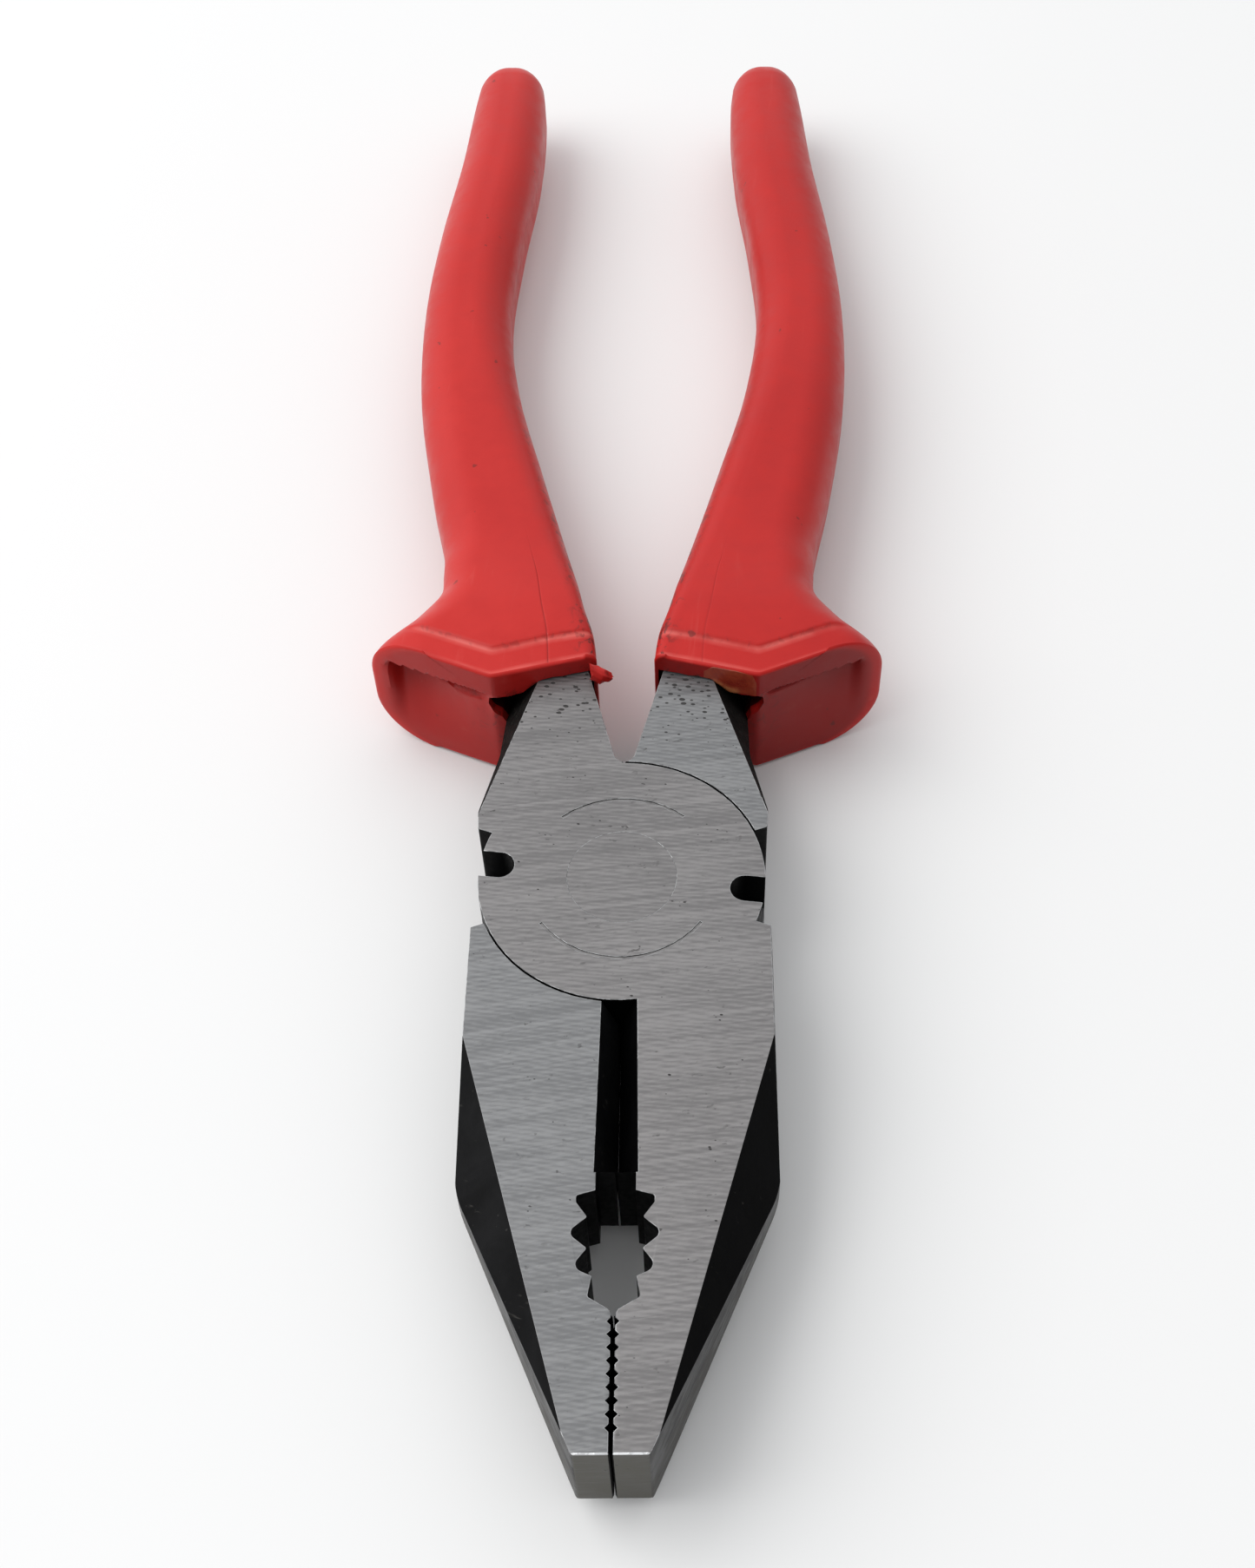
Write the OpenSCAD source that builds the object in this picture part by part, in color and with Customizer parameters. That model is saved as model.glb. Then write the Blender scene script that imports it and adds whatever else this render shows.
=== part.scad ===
// Combination pliers, 207 mm long: two equal forgings lapped on a flush rivet,
// with a moulded guard sleeve bonded on each tang.
// The origin is on the pivot axis, in the plane of the joint's under-face.
// +Y runs to the handles, -Y to the nose and +Z out of the upper face. The jaws are closed.

/* [Head] */
// Thickness of the steel head, face to face
head_t = 11.5; // [10:0.5:13]
// Radius of each joint disc
disc_r = 14.7; // [14:0.1:15.5]
// Width of the dark seam round each disc
seam_w = 0.2; // [0.1:0.05:0.3]
// Gap between the two discs' lapped faces
lap_gap = 0.1; // [0.06:0.02:0.2]

/* [Jaws] */
// Distance from the pivot to the nose end
nose_len = 59.4; // [57:0.1:62]
// Half-width of the closed jaws at their mid-thickness
jaw_half_w = 15.4; // [15:0.1:16]
// How much narrower each side is at the ground faces
side_draft = 0.3; // [0.1:0.1:0.6]
// Half-width of the nose end
nose_half_w = 3.4; // [3:0.1:4]
// Sideways slope of the nose flanks, per millimetre of length
nose_slope = 0.454; // [0.44:0.002:0.47]
// Half-width of the ground face at the nose end
face_half_w = 3.7; // [3.5:0.1:4]
// Sideways slope of the ground face's edge, per millimetre of length
face_slope = 0.279; // [0.27:0.001:0.29]
// Dip of the black flank bevels below the ground faces, in degrees
flank_dip = 47; // [40:1:55]
// Gap between the closed knives, at mid-thickness
jaw_gap = 0.06; // [0.04:0.02:0.2]
// Gap between the closed flats of the nose
nose_gap = 0.1; // [0.06:0.02:0.3]
// Half-width of the chamfered seam between the flats, at the ground faces
seam_half_w = 0.22; // [0.15:0.01:0.3]
// Dip of the tangs' outer bevels below the ground faces, in degrees
tang_dip = 59; // [55:1:65]

/* [Cutters and teeth] */
// Half-width of the cutter mouth at the faces
cutter_half_w = 1.75; // [1.5:0.05:2]
// How much wider the cutter mouth is at the knives' outer end
cutter_flare = 0.3; // [0:0.05:0.4]
// Distance from the pivot to the cutters' outer end
cutter_end = 33.2; // [32:0.1:34]
// Distance from the pivot to the pipe grip's first corner
grip_start = 35; // [34.5:0.1:35.2]
// Number of serrations on the flat nose
nose_teeth = 9; // [6:1:9]
// Pitch of the serrations
tooth_pitch = 1.19; // [1:0.01:1.25]
// Depth of the serrations
tooth_depth = 0.5; // [0.3:0.05:0.8]
// Radius of the joint cutters' wire slots
slot_r = 1.55; // [1.2:0.05:1.8]
// Angle of the joint cutters' line across the disc, in degrees
slot_angle = 7; // [5:0.5:9]

/* [Rivet] */
// Radius of the rivet's shank
rivet_r = 4.2; // [3.5:0.1:4.5]
// Radius of the rivet's flush heads
rivet_head_r = 5.6; // [5.2:0.1:6]
// Depth of the countersunk heads
rivet_head_t = 1.6; // [1.2:0.1:2]
// Radial running clearance in the turning half
rivet_clearance = 0.05; // [0.03:0.01:0.08]

/* [Sleeves] */
// Distance from the pivot to the sleeves' rear ends
sleeve_end = 147.3; // [146:0.1:150]
// Distance from the pivot to the guards' foremost corner
guard_front = 24.9; // [24:0.1:26]
// Distance from the centre line to that corner
guard_corner = 14.6; // [14:0.1:15.5]
// Sweep of the guard's front on its inner side, in degrees
inner_sweep = 13.8; // [12:0.1:15]
// Sweep of the guard's front on its outer side, in degrees
outer_sweep = 23.7; // [22:0.1:25]
// Depth of the hollow in the guard's front
guard_hollow = 3; // [2:0.1:4]
// Thickness of the adhesive bed
adhesive_t = 0.25; // [0.15:0.05:0.4]

/* [Hidden] */
$fn = 96;
steel = [0.62, 0.63, 0.64];
red = [0.80, 0.17, 0.15];
amber = [0.78, 0.55, 0.26];
half_t = head_t / 2;
seat_r = disc_r + seam_w;
jaw_shoulder = 6.2;
tang_end = 138;
bond_start = 34;
ring_step = 5;
corner_steps = 5;
arc_steps = 5;
knife_start = 12;
first_tooth = 12.6;
neck_half_w = 1.85;
slot_centre = 12.7;
slot_run = 4;
arc_mark_r = 9.7;
arc_mark_w = 0.26;
arc_mark_depth = 0.1;
hollow_start = 12;
hollow_w = 14;
hollow_half_h = 5.4;
cut_h = 40;
big = 60;
dome_start = 141;
dome_angle = 78;

// Handle sections: [y, inner x, outer x, half height, inner corner radius, outer corner radius]
sleeve_sections = [
    [22, 2.8, 25.4, 8.5, 1.5, 4.8],
    [31, 3.5, 28.85, 8.5, 1.6, 6.4],
    [36, 4.75, 24.9, 8.3, 1.8, 6.4],
    [40, 5.55, 21.7, 7.85, 2.2, 4.6],
    [44, 6.5, 21.5, 7.4, 2.6, 4.4],
    [49, 7.7, 21.9, 7.0, 3.0, 5.0],
    [60, 10.4, 24.2, 6.5, 3.4, 5.2],
    [76, 14.2, 26.7, 6.25, 4.0, 5.0],
    [92, 16.1, 27.3, 6.1, 4.2, 4.6],
    [108, 15.3, 26.4, 6.1, 4.2, 4.9],
    [124, 13.7, 24.6, 6.0, 4.2, 4.8],
    [140, 13.55, 23.35, 5.4, 3.8, 4.2],
    [152, 15.8, 21.7, 4.8, 3.0, 3.0]
];
// Tang sections inside the sleeve: [y, inner x, outer x]
tang_sections = [
    [27, 4.0, 13.5], [36, 6.2, 14.6], [48, 9.3, 18.2], [60, 12.4, 21.0], [76, 16.6, 23.9],
    [92, 18.6, 24.8], [108, 17.5, 23.9], [124, 16.1, 22.1], [140, 16.4, 20.9]
];
// Outline of the tang's bare neck, inner and outer side: [x, y, radius]
neck_inner = [[0.15, 12, 0], [0.15, 14.9, 0], [0.9, 15, 1.2], [4.0, 27, 0]];
neck_outer = [[13.5, 27, 0], [13.5, 17, 8], [15.2, 8.6, 3], [15.05, 6.15, 0.35], [13.2, 5.5, 0], [8, 5, 0]];
// Upper ends of the neck's outer bevels: [x, y]
neck_bevel = [[14.5, 10.2], [10, 25]];
// Mouth of the sleeve's pocket, inner and outer side: [x, y]
mouth_inner = [[3.3, 20], [3.7, 27]];
mouth_outer = [[14.8, 30], [14.8, 20]];
// Engraved plain arcs: [start, sweep], in degrees
arc_marks = [[50, 80], [215, 110]];
// Corners of the jaw's shoulder behind the joint: [x, y, radius]
shoulder_corners = [[13.2, -5.4, 0], [8, -5, 0]];
// Half of the tang's thickness against y
tang_profile = [[27, 5.75], [60, 5.0], [100, 4.2], [140, 3.5]];
// Half outline of the pipe grip: [half-width, distance beyond the grip's start, corner radius]
grip_outline = [
    [neck_half_w, 0, 0.25], [3.6, 0.5, 0.3], [3.6, 1.2, 0.3], [2.55, 2.65, 0.2], [4.35, 4.15, 0.65],
    [2.5, 5.7, 0.2], [3.9, 7.5, 0.75], [2.0, 8.35, 0], [2.35, 10.3, 0.3], [0.35, 11.5, 0.6], [0.2, 12, 0]
];

// Rounds the corner b between a and c with the radius b[2]
function corner_arc(a, b, c) =
    let (u = [a[0] - b[0], a[1] - b[1]], v = [c[0] - b[0], c[1] - b[1]],
         un = u / norm(u), vn = v / norm(v), half = acos(un * vn) / 2,
         start = [b[0], b[1]] + un * b[2] / tan(half), end = [b[0], b[1]] + vn * b[2] / tan(half),
         mid = [b[0], b[1]] + (un + vn) / norm(un + vn) * b[2] / sin(half),
         from = atan2(start[1] - mid[1], start[0] - mid[0]),
         to = atan2(end[1] - mid[1], end[0] - mid[0]), turn = (to - from + 540) % 360 - 180)
    [for (i = [0 : arc_steps]) let (t = from + turn * i / arc_steps) mid + b[2] * [cos(t), sin(t)]];
// An outline from corners [x, y, radius]
function rounded(corners) =
    let (n = len(corners))
    [for (i = [0 : n - 1]) each corners[i][2] > 0
        ? corner_arc(corners[(i + n - 1) % n], corners[i], corners[(i + 1) % n])
        : [[corners[i][0], corners[i][1]]]];

// Smooth curve through a table's column k, with slopes from the neighbouring rows
function slope(t, k, i) =
    let (a = max(i - 1, 0), b = min(i + 1, len(t) - 1))
    (t[b][k] - t[a][k]) / (t[b][0] - t[a][0]);
function row_before(t, y) = max([for (i = [0 : len(t) - 2]) if (t[i][0] <= y) i]);
function at(t, y, k) =
    let (i = row_before(t, y), w = t[i + 1][0] - t[i][0], s = (y - t[i][0]) / w)
    t[i][k] * (1 + 2 * s) * pow(1 - s, 2) + t[i + 1][k] * s * s * (3 - 2 * s)
    + slope(t, k, i) * w * s * pow(1 - s, 2) - slope(t, k, i + 1) * w * s * s * (1 - s);

// Everything above a plane that starts at the upper face on the line a-b and dips outward,
// and its mirror image under the lower face
module flank_cut(a, b, dip) {
    for (side = [0, 1]) mirror([0, 0, side])
        translate([a[0], a[1], half_t])
        rotate([0, 0, atan2(b[1] - a[1], b[0] - a[0]) - 90])
        rotate([0, dip, 0])
        translate([-5, -5, 0]) cube([big, norm(b - a) + 10, cut_h]);
}

// Outline of one jaw at mid-thickness
module jaw_outline() {
    kink = (jaw_half_w - nose_half_w) / nose_slope - nose_len;
    polygon(rounded(concat([
        [jaw_gap / 2, -5, 0], [jaw_gap / 2, -grip_start - 1, 0], [nose_gap / 2, -grip_start - 1, 0],
        [nose_gap / 2, -nose_len, 0.15], [nose_half_w, -nose_len, 0.5], [jaw_half_w, kink, 9],
        [jaw_half_w, -jaw_shoulder, 0.5]], shoulder_corners)));
}

// Both knife bevels of one jaw and the straight neck between the knives and the pipe grip
module cutter_cut() {
    length = cutter_end - knife_start;
    flare = atan(cutter_flare / (cutter_end - seat_r));
    for (side = [0, 1]) mirror([0, 0, side])
        translate([0, -cutter_end, 0]) rotate([0, 0, flare]) translate([0, length, 0])
            rotate([90, 0, 0]) linear_extrude(length)
                polygon([[-2, 0.1], [jaw_gap / 2, 0.1], [cutter_half_w + cutter_flare, half_t],
                         [cutter_half_w + cutter_flare, half_t + 1], [-2, half_t + 1]]);
    translate([-1, -grip_start - 0.1, -half_t - 1])
        cube([1 + neck_half_w, grip_start + 0.1 - cutter_end, head_t + 2]);
}

module grip_cut() {
    last = len(grip_outline) - 1;
    translate([0, 0, -half_t - 1]) linear_extrude(head_t + 2)
        polygon(rounded(concat([[-1, -grip_start, 0]],
            [for (p = grip_outline) [p[0], -grip_start - p[1], p[2]]],
            [[-1, -grip_start - grip_outline[last][1], 0]])));
}

module nose_teeth_cut() {
    first = grip_start + first_tooth;
    land = nose_gap / 2;
    for (i = [0 : nose_teeth - 1])
        translate([0, -first - i * tooth_pitch, -half_t - 1]) linear_extrude(head_t + 2)
            polygon([[-1, tooth_depth], [land, tooth_depth], [land + tooth_depth, 0],
                     [land, -tooth_depth], [-1, -tooth_depth]]);
}

// Chamfer along the nose flats at both faces and at the nose end
module seam_cut() {
    run = nose_len - grip_start + 1;
    for (side = [0, 1]) mirror([0, 0, side])
        translate([0, -grip_start, 0]) rotate([90, 0, 0]) linear_extrude(run)
            polygon([[-1, half_t - 2 * seam_half_w], [nose_gap / 2, half_t - 2 * seam_half_w],
                     [seam_half_w, half_t], [seam_half_w, half_t + 1], [-1, half_t + 1]]);
    translate([0, 0, -half_t - 1]) linear_extrude(head_t + 2)
        polygon([[-1, -nose_len + seam_half_w], [nose_gap / 2, -nose_len + seam_half_w],
                 [seam_half_w, -nose_len], [seam_half_w, -nose_len - 1], [-1, -nose_len - 1]]);
}

module jaw() {
    face_end = (jaw_half_w - face_half_w) / face_slope - nose_len;
    difference() {
        intersection() {
            translate([0, 0, -half_t]) linear_extrude(head_t) jaw_outline();
            rotate([90, 0, 0]) linear_extrude(nose_len + 1)
                polygon([[0, -half_t], [jaw_half_w - side_draft, -half_t], [jaw_half_w, 0],
                         [jaw_half_w - side_draft, half_t], [0, half_t]]);
        }
        flank_cut([face_half_w, -nose_len], [jaw_half_w, face_end], flank_dip);
        cutter_cut();
        grip_cut();
        nose_teeth_cut();
        seam_cut();
    }
}

// The part of the tang that the sleeve covers, grown outward by the given amount
module tang_core(grow, from_y) {
    ys = concat([from_y], [for (y = [from_y + 6 : 8 : tang_end - 3]) y], [tang_end + grow]);
    inner = [for (y = ys) [at(tang_sections, y, 1) - grow, y]];
    outer = [for (i = [len(ys) - 1 : -1 : 0]) [at(tang_sections, ys[i], 2) + grow, ys[i]]];
    side = [for (y = ys) [y, at(tang_profile, y, 1) + grow]];
    under = [for (i = [len(side) - 1 : -1 : 0]) [side[i][0], -side[i][1]]];
    intersection() {
        translate([0, 0, -half_t - 2]) linear_extrude(head_t + 4) polygon(concat(inner, outer));
        rotate([90, 0, 90]) linear_extrude(40) polygon(concat(side, under));
    }
}

// The bare neck of the tang, from the joint to the sleeve
module tang_neck() {
    difference() {
        translate([0, 0, -half_t]) linear_extrude(head_t)
            polygon(rounded(concat(
                neck_inner,
                [for (k = [1, 2]) [at(tang_sections, bond_start, k), bond_start, 0]],
                neck_outer)));
        flank_cut(neck_bevel[0], neck_bevel[1], tang_dip);
    }
}

module arc_cuts() {
    for (arc = arc_marks) rotate([0, 0, arc[0]])
        rotate_extrude(angle = arc[1])
            translate([arc_mark_r, half_t - arc_mark_depth]) square([arc_mark_w, 1]);
}

// One forging: left tang, upper disc and right jaw. The bore takes the given clearance.
module forging(clearance) {
    difference() {
        union() {
            difference() {
                union() {
                    jaw();
                    mirror([1, 0, 0]) {
                        tang_neck();
                        tang_core(0, bond_start);
                    }
                }
                // seat for the other half's disc
                translate([0, 0, -half_t - 1]) cylinder(r = seat_r, h = half_t + 1 + lap_gap / 2);
            }
            translate([0, 0, lap_gap / 2]) cylinder(r = disc_r, h = half_t - lap_gap / 2);
        }
        // bore and countersink for the rivet
        translate([0, 0, -1]) cylinder(r = rivet_r + clearance, h = half_t + 2);
        translate([0, 0, half_t - rivet_head_t])
            cylinder(r1 = rivet_r + clearance, r2 = rivet_head_r + clearance, h = rivet_head_t);
        // wire slots of the joint cutters, open at the disc's edge
        for (side = [0, 180]) rotate([0, 0, side - slot_angle])
            translate([slot_centre, 0, -1]) {
                cylinder(r = slot_r, h = half_t + 2);
                translate([0, -slot_r, 0]) cube([slot_run, 2 * slot_r, half_t + 2]);
            }
        arc_cuts();
    }
}

// Points of one sleeve ring at y, drawn in towards its middle by the factor f
function sleeve_ring(y, f) =
    let (xi = at(sleeve_sections, y, 1), xo = at(sleeve_sections, y, 2), xm = (xi + xo) / 2,
         h = at(sleeve_sections, y, 3), ri = at(sleeve_sections, y, 4), ro = at(sleeve_sections, y, 5),
         corners = [[xo - ro, h - ro, ro], [xi + ri, h - ri, ri],
                    [xi + ri, ri - h, ri], [xo - ro, ro - h, ro]])
    [for (c = [0 : 3]) for (i = [0 : corner_steps - 1])
        let (a = 90 * (c + i / (corner_steps - 1)), p = corners[c])
        [xm + f * (p[0] + p[2] * cos(a) - xm), y, f * (p[1] + p[2] * sin(a))]];

module sleeve_body() {
    dome = sleeve_end - dome_start;
    guard_ys = [22, 26, 29, 31, 33, 35, 36.5, 38, 40, 42, 44, 46.5, 49];
    rings = concat(
        [for (y = guard_ys) sleeve_ring(y, 1)],
        [for (y = [54 : ring_step : dome_start - 1]) sleeve_ring(y, 1)],
        [for (i = [0 : 5]) let (a = i * dome_angle / 5) sleeve_ring(dome_start + dome * sin(a), cos(a))]);
    n = 4 * corner_steps;
    polyhedron(
        points = [for (r = rings) for (p = r) p],
        faces = concat(
            [[for (i = [0 : n - 1]) i]],
            [for (r = [0 : len(rings) - 2]) for (i = [0 : n - 1])
                let (j = (i + 1) % n) [r * n + i, (r + 1) * n + i, (r + 1) * n + j, r * n + j]],
            [[for (i = [n - 1 : -1 : 0]) (len(rings) - 1) * n + i]]),
        convexity = 4);
}

// Everything in front of the guard's chevron face, set back by the given depth
module front_cut(back) {
    outer_run = 30;
    inner_run = 20;
    translate([0, 0, -cut_h / 2]) linear_extrude(cut_h)
        polygon([[guard_corner - inner_run, 0], [guard_corner + outer_run, 0],
                 [guard_corner + outer_run, guard_front + back + outer_run * tan(outer_sweep)],
                 [guard_corner, guard_front + back],
                 [guard_corner - inner_run, guard_front + back + inner_run * tan(inner_sweep)]]);
}

// One sleeve on the right-hand side
module sleeve() {
    difference() {
        sleeve_body();
        front_cut(0);
        // pocket for the tang and its adhesive
        tang_core(adhesive_t, bond_start);
        translate([0, 0, -half_t - adhesive_t]) linear_extrude(head_t + 2 * adhesive_t)
            polygon(concat(mouth_inner,
                [[at(tang_sections, bond_start, 1) - adhesive_t, bond_start],
                 [at(tang_sections, bond_start, 2) + adhesive_t, bond_start]],
                mouth_outer));
        // hollow in the front of the guard
        intersection() {
            front_cut(guard_hollow);
            translate([hollow_start, 0, -hollow_half_h]) cube([hollow_w, big, 2 * hollow_half_h]);
        }
    }
}

module adhesive() {
    difference() {
        tang_core(adhesive_t, bond_start);
        tang_core(0, bond_start);
    }
}

module on_base() {
    translate([0, 0, half_t]) children();
}

module jaw_half_upper() {
    color(steel) on_base() forging(0);
}

module jaw_half_lower() {
    color(steel) on_base() rotate([0, 180, 0]) forging(rivet_clearance);
}

module rivet() {
    color(steel) on_base() {
        translate([0, 0, -half_t]) cylinder(r = rivet_r, h = head_t);
        for (side = [0, 1]) mirror([0, 0, side])
            translate([0, 0, half_t - rivet_head_t])
                cylinder(r1 = rivet_r, r2 = rivet_head_r, h = rivet_head_t);
    }
}

module left_sleeve() {
    color(red) on_base() mirror([1, 0, 0]) sleeve();
}

module right_sleeve() {
    color(red) on_base() sleeve();
}

module left_adhesive() {
    color(amber) on_base() mirror([1, 0, 0]) adhesive();
}

module right_adhesive() {
    color(amber) on_base() adhesive();
}

jaw_half_upper();
jaw_half_lower();
rivet();
left_sleeve();
right_sleeve();
left_adhesive();
right_adhesive();
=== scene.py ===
import bpy, bmesh, math
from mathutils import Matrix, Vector, noise


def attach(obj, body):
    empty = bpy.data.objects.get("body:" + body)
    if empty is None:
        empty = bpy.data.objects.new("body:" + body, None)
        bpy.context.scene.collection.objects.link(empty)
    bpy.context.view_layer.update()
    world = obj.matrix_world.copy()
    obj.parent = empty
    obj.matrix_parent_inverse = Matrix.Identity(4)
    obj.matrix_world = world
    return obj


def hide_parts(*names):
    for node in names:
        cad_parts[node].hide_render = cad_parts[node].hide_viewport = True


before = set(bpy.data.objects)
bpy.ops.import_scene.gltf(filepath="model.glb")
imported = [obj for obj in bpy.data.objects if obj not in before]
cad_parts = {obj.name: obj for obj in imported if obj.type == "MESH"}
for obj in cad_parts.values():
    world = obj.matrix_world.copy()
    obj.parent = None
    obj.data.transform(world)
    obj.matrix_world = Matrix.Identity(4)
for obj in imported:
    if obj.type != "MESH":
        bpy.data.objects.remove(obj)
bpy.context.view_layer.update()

MM = 0.001
MID = 5.75  # height of the mid-plane, mm
LINE_PITCH = 0.00052  # between the long lines of the ground faces, m
LINE_SWAY = 14.0  # how far those lines wander, radians


def smooth(a, b, x):
    s = min(max((x - a) / (b - a), 0.0), 1.0)
    return s * s * (3 - 2 * s)


# ---------------------------------------------------------------- materials
class Nodes:
    """A small helper for building one material's node tree."""

    def __init__(self, name, **shader):
        self.mat = bpy.data.materials.new(name)
        self.mat.use_nodes = True
        self.tree = self.mat.node_tree
        self.bsdf = self.tree.nodes["Principled BSDF"]
        self.coords = self.add("ShaderNodeTexCoord").outputs["Object"]
        for key, value in shader.items():
            self.bsdf.inputs[key.replace("_", " ")].default_value = value

    def add(self, kind, **settings):
        node = self.tree.nodes.new(kind)
        for key, value in settings.items():
            setattr(node, key, value)
        return node

    def link(self, out, into):
        self.tree.links.new(out, into)

    def put(self, socket, value):
        if isinstance(value, bpy.types.NodeSocket):
            self.link(value, socket)
        else:
            socket.default_value = value

    def math(self, op, a, b=0.0):
        node = self.add("ShaderNodeMath", operation=op)
        self.put(node.inputs[0], a)
        self.put(node.inputs[1], b)
        return node.outputs[0]

    def plus(self, a, b):
        return self.math("ADD", a, b)

    def minus(self, a, b):
        return self.math("SUBTRACT", a, b)

    def times(self, a, b):
        return self.math("MULTIPLY", a, b)

    def larger(self, a, b):
        return self.math("MAXIMUM", a, b)

    def mapped(self, scale, turn=0.0, shift=(0, 0, 0)):
        """Object coordinates turned about Z, then scaled per axis (features per metre)."""
        turned = self.add("ShaderNodeVectorRotate", rotation_type="Z_AXIS")
        self.link(self.coords, turned.inputs["Vector"])
        turned.inputs["Angle"].default_value = turn
        if not isinstance(scale, tuple):
            scale = (scale,) * 3
        node = self.add("ShaderNodeMapping", vector_type="POINT")
        self.link(turned.outputs[0], node.inputs["Vector"])
        node.inputs["Location"].default_value = shift
        node.inputs["Scale"].default_value = scale
        return node.outputs[0]

    def noise(self, scale, turn=0.0, detail=3.0, rough=0.5, distort=0.0, shift=(0, 0, 0)):
        node = self.add("ShaderNodeTexNoise")
        self.link(self.mapped(scale, turn, shift), node.inputs["Vector"])
        node.inputs["Scale"].default_value = 1.0
        node.inputs["Detail"].default_value = detail
        node.inputs["Roughness"].default_value = rough
        node.inputs["Distortion"].default_value = distort
        return node.outputs[0]

    def cells(self, scale, turn=0.0, shift=(0, 0, 0)):
        """Distance from the nearest of many scattered points."""
        node = self.add("ShaderNodeTexVoronoi")
        self.link(self.mapped(scale, turn, shift), node.inputs["Vector"])
        node.inputs["Scale"].default_value = 1.0
        return node.outputs["Distance"]

    def remap(self, value, a, b, low=0.0, high=1.0):
        node = self.add("ShaderNodeMapRange", interpolation_type="SMOOTHSTEP")
        self.put(node.inputs["Value"], value)
        for key, v in (("From Min", a), ("From Max", b), ("To Min", low), ("To Max", high)):
            node.inputs[key].default_value = v
        return node.outputs[0]

    def mix(self, factor, a, b):
        node = self.add("ShaderNodeMix", data_type="RGBA")
        self.put(node.inputs[0], factor)
        for socket, value in ((node.inputs[6], a), (node.inputs[7], b)):
            self.put(socket, value if isinstance(value, bpy.types.NodeSocket) else (*value, 1))
        return node.outputs[2]

    def axis(self, k):
        node = self.add("ShaderNodeSeparateXYZ")
        self.link(self.coords, node.inputs[0])
        return node.outputs[k]

    def attribute(self, name):
        node = self.add("ShaderNodeAttribute", attribute_name=name)
        return node.outputs["Fac"]

    def bump(self, height, distance, strength):
        node = self.add("ShaderNodeBump")
        node.inputs["Strength"].default_value = strength
        node.inputs["Distance"].default_value = distance
        self.link(height, node.inputs["Height"])
        return node.outputs[0]

    def finish(self, color, rough=None, normal=None):
        self.link(color, self.bsdf.inputs["Base Color"])
        if rough is not None:
            self.link(rough, self.bsdf.inputs["Roughness"])
        if normal is not None:
            self.link(normal, self.bsdf.inputs["Normal"])
        return self.mat


def ground_steel(name, light, dark, turn, seed, pits=1.0):
    """Surface-ground steel: fine wavy lines at an angle, soft banding and small dark pits."""
    n = Nodes(name, Metallic=0.55, Roughness=0.5, IOR=1.6)
    shift = (seed, seed * 0.37, 0)
    lines = n.noise((60, 2500, 60), turn, 2, 0.5, 0.3, shift)
    coarse = n.noise((45, 1250, 45), turn + 0.03, 2, 0.5, 0.8, shift)
    bands = n.noise((30, 150, 60), turn, 2, 0.5, 0.0, shift)
    clouds = n.noise(60, 0, 3, 0.55, 0, shift)
    fine = n.noise((900, 2600, 900), turn, 3, 0.6, 0, shift)
    # one long wavy line every half millimetre
    across = n.plus(n.axis(1), n.times(n.axis(0), -math.tan(turn)))
    sway = n.noise((60, 420, 60), turn, 3, 0.6, 0, shift)
    phase = n.plus(n.times(across, 2 * math.pi / LINE_PITCH), n.times(sway, LINE_SWAY))
    wave = n.math("SINE", phase)
    grain = n.plus(n.times(lines, 0.75), n.times(coarse, 0.25))
    grain = n.plus(grain, n.times(wave, 0.09))
    tone = n.plus(n.times(grain, 0.55), n.times(bands, 0.05))
    tone = n.plus(tone, n.times(clouds, 0.16))
    tone = n.plus(tone, n.times(fine, 0.22))
    color = n.mix(n.remap(tone, 0.35, 0.65), dark, light)
    # pits: short dark marks that follow the grinding, thicker near the tang mouths
    spots = n.cells((1000, 1750, 1000), turn + 0.25, shift)
    patch = n.noise(260, 0, 3, 0.6, 0, shift)
    near_mouth = n.remap(n.axis(1), 0.013, 0.026, 0.0, 0.27)
    room = n.plus(n.remap(patch, 0.47, 0.72, 0.0, 0.2 * pits), near_mouth)
    pit = n.remap(n.minus(room, spots), -0.01, 0.05)
    specks = n.remap(n.noise((1000, 1700, 1000), turn, 2, 0.5, 0, shift), 0.665, 0.73)
    pit = n.larger(pit, n.times(specks, n.remap(patch, 0.45, 0.7, 0.15, 0.9)))
    dots = n.cells((420, 620, 420), turn + 0.4, shift)
    sparse = n.remap(n.noise(190, 0, 2, 0.5, 0, (seed + 4, 0, 0)), 0.48, 0.62, 0.0, 0.075 * pits)
    pit = n.larger(pit, n.remap(n.minus(sparse, dots), -0.005, 0.02))
    color = n.mix(n.times(pit, 0.85), color, (0.025, 0.023, 0.022))
    rough = n.plus(n.remap(grain, 0.3, 0.7, 0.4, 0.56), n.times(pit, 0.3))
    height = n.minus(n.times(grain, 0.6), n.times(pit, 1.6))
    return n.finish(color, rough, n.bump(height, 0.00003, 0.4))


def worn_edge(name, light, seed, amount=0.5):
    """The eased edge of a ground face: bright where it is worn, dark where it is nicked; on the nose's top
    edge the brightness is also a painted highlight.
    """
    n = Nodes(name, Metallic=0.6, Roughness=0.4, IOR=1.6)
    nick = n.remap(n.noise(1100, 0, 3, 0.65, 0, (seed, 0, 0)), 0.42, 0.58)
    slow = n.remap(n.noise(230, 0, 2, 0.5, 0, (seed, 0, 0)), 0.35, 0.7, 0.4, 1.0)
    shade = n.times(n.times(nick, slow), amount)
    color = n.mix(shade, light, (0.02, 0.019, 0.018))
    return n.finish(color, n.remap(nick, 0.0, 1.0, 0.32, 0.65), n.bump(nick, 0.00004, 0.5))


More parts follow.
